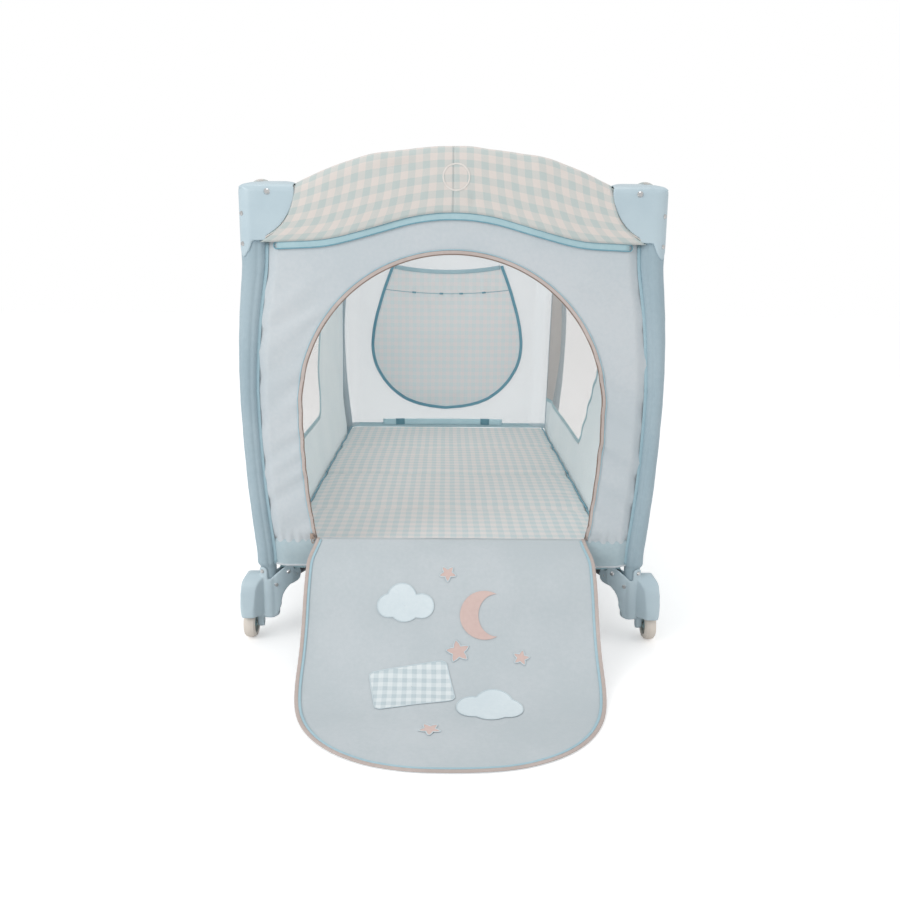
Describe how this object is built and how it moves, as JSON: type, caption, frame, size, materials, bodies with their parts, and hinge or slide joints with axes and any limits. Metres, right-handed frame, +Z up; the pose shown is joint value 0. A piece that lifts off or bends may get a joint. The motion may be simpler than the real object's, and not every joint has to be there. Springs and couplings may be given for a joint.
{
  "type": "folding playpen",
  "caption": "Folding travel playpen with fabric walls, padded top rails, a zip door in its end wall, a panelled mattress and transport wheels.",
  "frame": {"origin": "on the floor, at the middle of the underside of the hub's foot, under the centre of the playpen", "axes": "+Z up; +Y along the length, away from the door end; +X across the width, to the right when facing the door"},
  "size_m": [0.73, 1.6784, 0.83],
  "materials": {
    "moulding": "satin pale blue moulding",
    "hub_plastic": "matt dark grey moulding",
    "base_steel": "dark grey powder coat",
    "leg_steel": "grey powder coat",
    "fastener_steel": "bright zinc",
    "blue_fabric": "pale blue polyester",
    "gingham_fabric": "cream and mint check",
    "mesh_fabric": "white netting",
    "tyre": "cream tyre",
    "button_plastic": "red moulding",
    "slider_metal": "taupe enamel"
  },
  "bodies": {
    "hub": {"hub_housing": "hub_plastic", "hub_foot": "hub_plastic", "floor_cloth": "blue_fabric"},
    "base_tube_front_left": {"base_tube_front_left": "base_steel"},
    "base_tube_front_right": {"base_tube_front_right": "base_steel"},
    "base_tube_rear_left": {"base_tube_rear_left": "base_steel"},
    "base_tube_rear_right": {"base_tube_rear_right": "base_steel"},
    "leg_front_left": {"leg_tube_front_left": "leg_steel", "corner_joint_front_left": "moulding", "foot_front_left": "moulding", "fasteners_front_left": "fastener_steel", "leg_sleeve_front_left": "blue_fabric", "front_wall": "blue_fabric", "zip_slider": "slider_metal"},
    "leg_front_right": {"leg_tube_front_right": "leg_steel", "corner_joint_front_right": "moulding", "foot_front_right": "moulding", "fasteners_front_right": "fastener_steel", "leg_sleeve_front_right": "blue_fabric"},
    "leg_rear_left": {"leg_tube_rear_left": "leg_steel", "corner_joint_rear_left": "moulding", "foot_rear_left": "moulding", "fasteners_rear_left": "fastener_steel", "leg_sleeve_rear_left": "blue_fabric", "rear_wall": "mesh_fabric", "left_wall": "blue_fabric", "toy_pocket": "gingham_fabric"},
    "leg_rear_right": {"leg_tube_rear_right": "leg_steel", "corner_joint_rear_right": "moulding", "foot_rear_right": "moulding", "fasteners_rear_right": "fastener_steel", "leg_sleeve_rear_right": "blue_fabric", "right_wall": "blue_fabric"},
    "end_rail_front_left": {"end_rail_front_left": "leg_steel", "rail_cover_front": "gingham_fabric"},
    "end_rail_front_right": {"end_rail_front_right": "leg_steel"},
    "end_rail_rear_left": {"end_rail_rear_left": "leg_steel", "rail_cover_rear": "gingham_fabric"},
    "end_rail_rear_right": {"end_rail_rear_right": "leg_steel"},
    "side_rail_front_left": {"side_rail_front_left": "leg_steel", "rail_cover_left": "gingham_fabric"},
    "side_rail_front_right": {"side_rail_front_right": "leg_steel", "rail_cover_right": "gingham_fabric"},
    "side_rail_rear_left": {"side_rail_rear_left": "leg_steel"},
    "side_rail_rear_right": {"side_rail_rear_right": "leg_steel"},
    "lock_block_front": {"lock_block_front": "hub_plastic"},
    "lock_block_rear": {"lock_block_rear": "hub_plastic"},
    "lock_block_left": {"lock_block_left": "hub_plastic"},
    "lock_block_right": {"lock_block_right": "hub_plastic"},
    "release_button_front": {"release_button_front": "button_plastic"},
    "release_button_rear": {"release_button_rear": "button_plastic"},
    "release_button_left": {"release_button_left": "button_plastic"},
    "release_button_right": {"release_button_right": "button_plastic"},
    "wheel_left": {"wheel_left": "tyre"},
    "wheel_right": {"wheel_right": "tyre"},
    "mattress_2": {"mattress_panel_2": "gingham_fabric"},
    "mattress_1": {"mattress_panel_1": "gingham_fabric"},
    "mattress_3": {"mattress_panel_3": "gingham_fabric"},
    "mattress_4": {"mattress_panel_4": "gingham_fabric"},
    "door_flap": {"door_flap": "blue_fabric"}
  },
  "joints": [
    {"name": "frame_fold", "type": "hinge", "parent": "hub", "child": "base_tube_front_left", "pos_m": [-0.0575, -0.045, 0.109], "axis": [0.9214, -0.3886, 0], "range_deg": [0, 80], "deforming": ["front_wall", "rear_wall", "left_wall", "right_wall", "rail_cover_front", "rail_cover_rear", "rail_cover_left", "rail_cover_right", "leg_sleeve_front_left", "leg_sleeve_front_right", "leg_sleeve_rear_left", "leg_sleeve_rear_right", "floor_cloth", "door_flap", "toy_pocket", "zip_slider", "mattress_panel_1", "mattress_panel_2", "mattress_panel_3", "mattress_panel_4"]},
    {"name": "base_tube_hinge_front_right", "type": "hinge", "parent": "hub", "child": "base_tube_front_right", "pos_m": [0.0575, -0.045, 0.109], "axis": [0.9214, 0.3886, 0], "range_deg": [0, 80]},
    {"name": "base_tube_hinge_rear_left", "type": "hinge", "parent": "hub", "child": "base_tube_rear_left", "pos_m": [-0.0575, 0.045, 0.109], "axis": [-0.9214, -0.3886, 0], "range_deg": [0, 80]},
    {"name": "base_tube_hinge_rear_right", "type": "hinge", "parent": "hub", "child": "base_tube_rear_right", "pos_m": [0.0575, 0.045, 0.109], "axis": [-0.9214, 0.3886, 0], "range_deg": [0, 80]},
    {"name": "foot_hinge_front_left", "type": "hinge", "parent": "base_tube_front_left", "child": "leg_front_left", "pos_m": [-0.2865, -0.588, 0.109], "axis": [0.9214, -0.3886, 0], "range_deg": [-80, 0]},
    {"name": "foot_hinge_front_right", "type": "hinge", "parent": "base_tube_front_right", "child": "leg_front_right", "pos_m": [0.2865, -0.588, 0.109], "axis": [0.9214, 0.3886, 0], "range_deg": [-80, 0]},
    {"name": "foot_hinge_rear_left", "type": "hinge", "parent": "base_tube_rear_left", "child": "leg_rear_left", "pos_m": [-0.2865, 0.588, 0.109], "axis": [-0.9214, -0.3886, 0], "range_deg": [-80, 0]},
    {"name": "foot_hinge_rear_right", "type": "hinge", "parent": "base_tube_rear_right", "child": "leg_rear_right", "pos_m": [0.2865, 0.588, 0.109], "axis": [-0.9214, 0.3886, 0], "range_deg": [-80, 0]},
    {"name": "end_rail_hinge_front_left", "type": "hinge", "parent": "leg_front_left", "child": "end_rail_front_left", "pos_m": [-0.294, -0.614, 0.76], "axis": [0, 1, 0], "range_deg": [0, 80]},
    {"name": "end_rail_hinge_front_right", "type": "hinge", "parent": "leg_front_right", "child": "end_rail_front_right", "pos_m": [0.294, -0.614, 0.76], "axis": [0, -1, 0], "range_deg": [0, 80]},
    {"name": "end_rail_hinge_rear_left", "type": "hinge", "parent": "leg_rear_left", "child": "end_rail_rear_left", "pos_m": [-0.294, 0.614, 0.76], "axis": [0, 1, 0], "range_deg": [0, 80]},
    {"name": "end_rail_hinge_rear_right", "type": "hinge", "parent": "leg_rear_right", "child": "end_rail_rear_right", "pos_m": [0.294, 0.614, 0.76], "axis": [0, -1, 0], "range_deg": [0, 80]},
    {"name": "side_rail_hinge_front_left", "type": "hinge", "parent": "leg_front_left", "child": "side_rail_front_left", "pos_m": [-0.32, -0.588, 0.76], "axis": [-1, 0, 0], "range_deg": [0, 80]},
    {"name": "side_rail_hinge_front_right", "type": "hinge", "parent": "leg_front_right", "child": "side_rail_front_right", "pos_m": [0.32, -0.588, 0.76], "axis": [-1, 0, 0], "range_deg": [0, 80]},
    {"name": "side_rail_hinge_rear_left", "type": "hinge", "parent": "leg_rear_left", "child": "side_rail_rear_left", "pos_m": [-0.32, 0.588, 0.76], "axis": [1, 0, 0], "range_deg": [0, 80]},
    {"name": "side_rail_hinge_rear_right", "type": "hinge", "parent": "leg_rear_right", "child": "side_rail_rear_right", "pos_m": [0.32, 0.588, 0.76], "axis": [1, 0, 0], "range_deg": [0, 80]},
    {"name": "lock_block_hinge_front", "type": "hinge", "parent": "end_rail_front_left", "child": "lock_block_front", "pos_m": [-0.065, -0.614, 0.76], "axis": [0, 1, 0], "range_deg": [-80, 0]},
    {"name": "lock_block_hinge_rear", "type": "hinge", "parent": "end_rail_rear_left", "child": "lock_block_rear", "pos_m": [-0.065, 0.614, 0.76], "axis": [0, 1, 0], "range_deg": [-80, 0]},
    {"name": "lock_block_hinge_left", "type": "hinge", "parent": "side_rail_front_left", "child": "lock_block_left", "pos_m": [-0.32, -0.045, 0.76], "axis": [-1, 0, 0], "range_deg": [-80, 0]},
    {"name": "lock_block_hinge_right", "type": "hinge", "parent": "side_rail_front_right", "child": "lock_block_right", "pos_m": [0.32, -0.045, 0.76], "axis": [-1, 0, 0], "range_deg": [-80, 0]},
    {"name": "release_press_front", "type": "slide", "parent": "lock_block_front", "child": "release_button_front", "axis": [0, 0, 1], "range_m": [0, 0.004], "stiffness_N_per_m": 400, "springref_m": -0.002},
    {"name": "release_press_rear", "type": "slide", "parent": "lock_block_rear", "child": "release_button_rear", "axis": [0, 0, 1], "range_m": [0, 0.004], "stiffness_N_per_m": 400, "springref_m": -0.002},
    {"name": "release_press_left", "type": "slide", "parent": "lock_block_left", "child": "release_button_left", "axis": [0, 0, 1], "range_m": [0, 0.004], "stiffness_N_per_m": 400, "springref_m": -0.002},
    {"name": "release_press_right", "type": "slide", "parent": "lock_block_right", "child": "release_button_right", "axis": [0, 0, 1], "range_m": [0, 0.004], "stiffness_N_per_m": 400, "springref_m": -0.002},
    {"name": "wheel_spin_left", "type": "hinge", "parent": "leg_front_left", "child": "wheel_left", "pos_m": [-0.3515, -0.614, 0.0275], "axis": [1, 0, 0], "continuous": true},
    {"name": "wheel_spin_right", "type": "hinge", "parent": "leg_front_right", "child": "wheel_right", "pos_m": [0.3515, -0.614, 0.0275], "axis": [1, 0, 0], "continuous": true},
    {"name": "mattress_lift", "type": "slide", "parent": "hub", "child": "mattress_2", "axis": [0, 0, 1], "range_m": [0, 0.66]},
    {"name": "mattress_fold", "type": "hinge", "parent": "mattress_2", "child": "mattress_3", "pos_m": [0, 0, 0.15], "axis": [1, 0, 0], "range_deg": [0, 90]},
    {"name": "mattress_hinge_4", "type": "hinge", "parent": "mattress_3", "child": "mattress_4", "pos_m": [0, 0.297, 0.15], "axis": [1, 0, 0], "range_deg": [0, 90]},
    {"name": "mattress_hinge_1", "type": "hinge", "parent": "mattress_2", "child": "mattress_1", "pos_m": [0, -0.297, 0.15], "axis": [-1, 0, 0], "range_deg": [0, 90]},
    {"name": "door_hinge", "type": "hinge", "parent": "leg_front_left", "child": "door_flap", "pos_m": [0, -0.6324, 0.188], "axis": [-1, 0, 0], "range_deg": [0, 110]}
  ],
  "couplings": [
    {"joint": "base_tube_hinge_front_right", "follows": "frame_fold", "ratio": 1},
    {"joint": "base_tube_hinge_rear_left", "follows": "frame_fold", "ratio": 1},
    {"joint": "base_tube_hinge_rear_right", "follows": "frame_fold", "ratio": 1},
    {"joint": "foot_hinge_front_left", "follows": "frame_fold", "ratio": -1},
    {"joint": "foot_hinge_front_right", "follows": "frame_fold", "ratio": -1},
    {"joint": "foot_hinge_rear_left", "follows": "frame_fold", "ratio": -1},
    {"joint": "foot_hinge_rear_right", "follows": "frame_fold", "ratio": -1},
    {"joint": "end_rail_hinge_front_left", "follows": "frame_fold", "ratio": 1},
    {"joint": "end_rail_hinge_front_right", "follows": "frame_fold", "ratio": 1},
    {"joint": "end_rail_hinge_rear_left", "follows": "frame_fold", "ratio": 1},
    {"joint": "end_rail_hinge_rear_right", "follows": "frame_fold", "ratio": 1},
    {"joint": "side_rail_hinge_front_left", "follows": "frame_fold", "ratio": 1},
    {"joint": "side_rail_hinge_front_right", "follows": "frame_fold", "ratio": 1},
    {"joint": "side_rail_hinge_rear_left", "follows": "frame_fold", "ratio": 1},
    {"joint": "side_rail_hinge_rear_right", "follows": "frame_fold", "ratio": 1},
    {"joint": "lock_block_hinge_front", "follows": "frame_fold", "ratio": -1},
    {"joint": "lock_block_hinge_rear", "follows": "frame_fold", "ratio": -1},
    {"joint": "lock_block_hinge_left", "follows": "frame_fold", "ratio": -1},
    {"joint": "lock_block_hinge_right", "follows": "frame_fold", "ratio": -1},
    {"joint": "mattress_lift", "follows": "frame_fold", "m_per_rad": 0.47},
    {"joint": "mattress_hinge_4", "follows": "mattress_fold", "ratio": 1},
    {"joint": "mattress_hinge_1", "follows": "mattress_fold", "ratio": 1}
  ]
}
